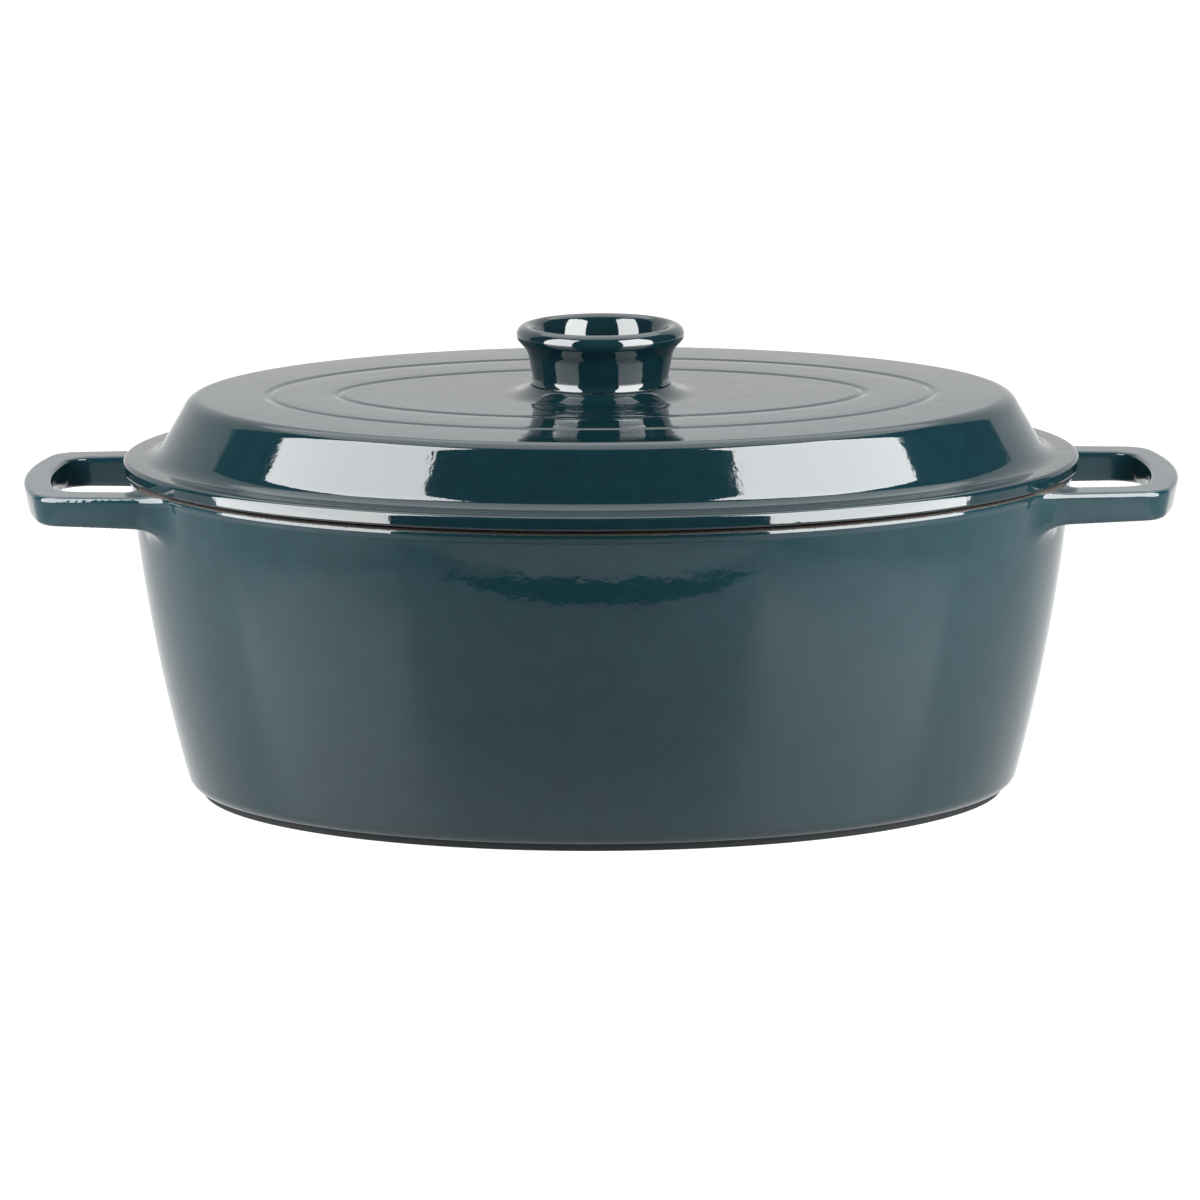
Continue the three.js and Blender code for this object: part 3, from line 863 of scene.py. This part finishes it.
def world():
    """White behind and above, dark in front, and plain white to the camera."""
    light = bpy.data.worlds.new("studio")
    light.use_nodes = True
    tree = light.node_tree
    shader = tree.nodes["Background"]
    direction = add(tree, "ShaderNodeTexCoord").outputs["Generated"]
    level = [toward(tree, direction, side) for side in (BACKDROP_RIGHT, BACKDROP_LEFT)]
    behind = maths(tree, "MINIMUM", *level)
    up = add(tree, "ShaderNodeSeparateXYZ", {0: direction}).outputs["Z"]
    wall = ramp(tree, behind, -0.02, 0.04, 0.0, BACKDROP)
    backdrop = maths(tree, "MULTIPLY", wall, ramp(tree, up, -0.13, -0.09))
    overhead = ramp(tree, toward(tree, direction, OVERHEAD_MIDDLE), 0.80, 0.86, 0.0, OVERHEAD)
    bright = maths(tree, "MAXIMUM", maths(tree, "MAXIMUM", backdrop, overhead), DARK_STUDIO)
    seen = add(tree, "ShaderNodeLightPath").outputs["Is Camera Ray"]
    tree.links.new(maths(tree, "MAXIMUM", bright, seen), shader.inputs["Strength"])
    shader.inputs["Color"].default_value = (1, 1, 1, 1)
    bpy.context.scene.world = light


def studio():
    world()
    floor = plane("floor", -9000, 9000, -9000, 9000, -0.05, matt("floor_pale", (0.3, 0.3, 0.3), 0.86))
    floor.visible_glossy = floor.visible_diffuse = floor.visible_shadow = False
    table = plane("table", -TABLE_HALF_LENGTH, TABLE_HALF_LENGTH, TABLE_FRONT, TABLE_HALF_LENGTH, -0.1,
                  glossy_table())
    lens = painted_shade_lens()
    table.visible_camera = lens.visible_camera = lens.visible_shadow = False
    softbox("softbox_left", (-245, -313), (-437, -73), BOX_BOTTOM, BOX_TOP, BOX_LEFT)
    softbox("softbox_right", (217, -376), (411, -117), BOX_BOTTOM, BOX_TOP, BOX_RIGHT)


def camera():
    data = bpy.data.cameras.new("camera")
    data.lens, data.sensor_width = CAMERA_LENS, 36
    data.clip_start, data.clip_end = 0.05, 50
    cam = bpy.data.objects.new("camera", data)
    turn = Matrix.Rotation(CAMERA_YAW, 4, "Z") @ Matrix.Rotation(math.pi / 2 - CAMERA_PITCH, 4, "X")
    cam.matrix_world = Matrix.Translation(CAMERA_PLACE) @ turn @ Matrix.Rotation(CAMERA_ROLL, 4, "Z")
    bpy.context.scene.collection.objects.link(cam)
    bpy.context.scene.camera = cam


camera()
studio()
bpy.context.scene.view_settings.view_transform = "Standard"
pot_zones = [("foot", "foot"), ("inside", "inside"), ("rim", "iron")]
lid_zones = [("under", "inside"), ("seat", "iron")]
# the pot takes the lit copy of the teal, the lid and knob the shaded copy
teal_pot_lit = enamel("teal_enamel_pot_lit", POT_TEAL_LIT_DEEP, POT_TEAL_LIT, pot_zones)
teal_lid_shaded = enamel("teal_enamel_lid_shaded", LID_TEAL_SHADED_DEEP, LID_TEAL_SHADED, lid_zones)
teal_knob_shaded = enamel("teal_enamel_knob_shaded", LID_TEAL_SHADED_DEEP, LID_TEAL_SHADED, [], KNOB_GLOSS)
stainless = steel("turned_stainless")
pot(teal_pot_lit)
lid(teal_lid_shaded)
knob(teal_knob_shaded)
washer(stainless)
screw(stainless)
